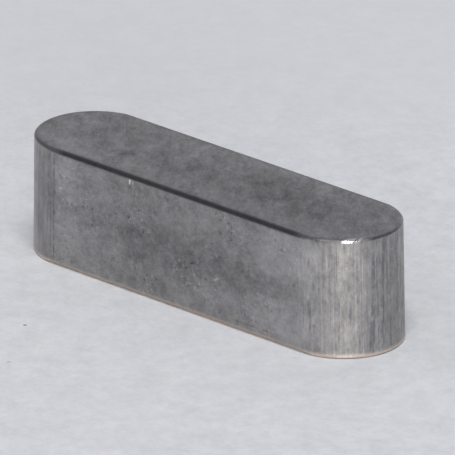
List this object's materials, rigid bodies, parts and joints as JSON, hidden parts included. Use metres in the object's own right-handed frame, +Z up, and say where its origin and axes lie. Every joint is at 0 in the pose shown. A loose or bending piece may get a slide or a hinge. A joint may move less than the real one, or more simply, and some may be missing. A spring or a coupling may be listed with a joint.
{
  "type": "parallel key",
  "caption": "Round-ended parallel key: a small square steel bar with chamfered long edges that locks a hub to a shaft through matching keyways.",
  "frame": {"origin": "centre of the bottom face", "axes": "+X along the key towards the end that leans, +Y across the flanks, +Z up from the bottom face to the top face"},
  "size_m": [0.022, 0.006, 0.006],
  "materials": {
    "key_steel": "bare drawn key steel, dull grey with faint stains, ends milled with fine upright tool marks"
  },
  "bodies": {
    "root": {"parallel_key": "key_steel"}
  },
  "joints": []
}
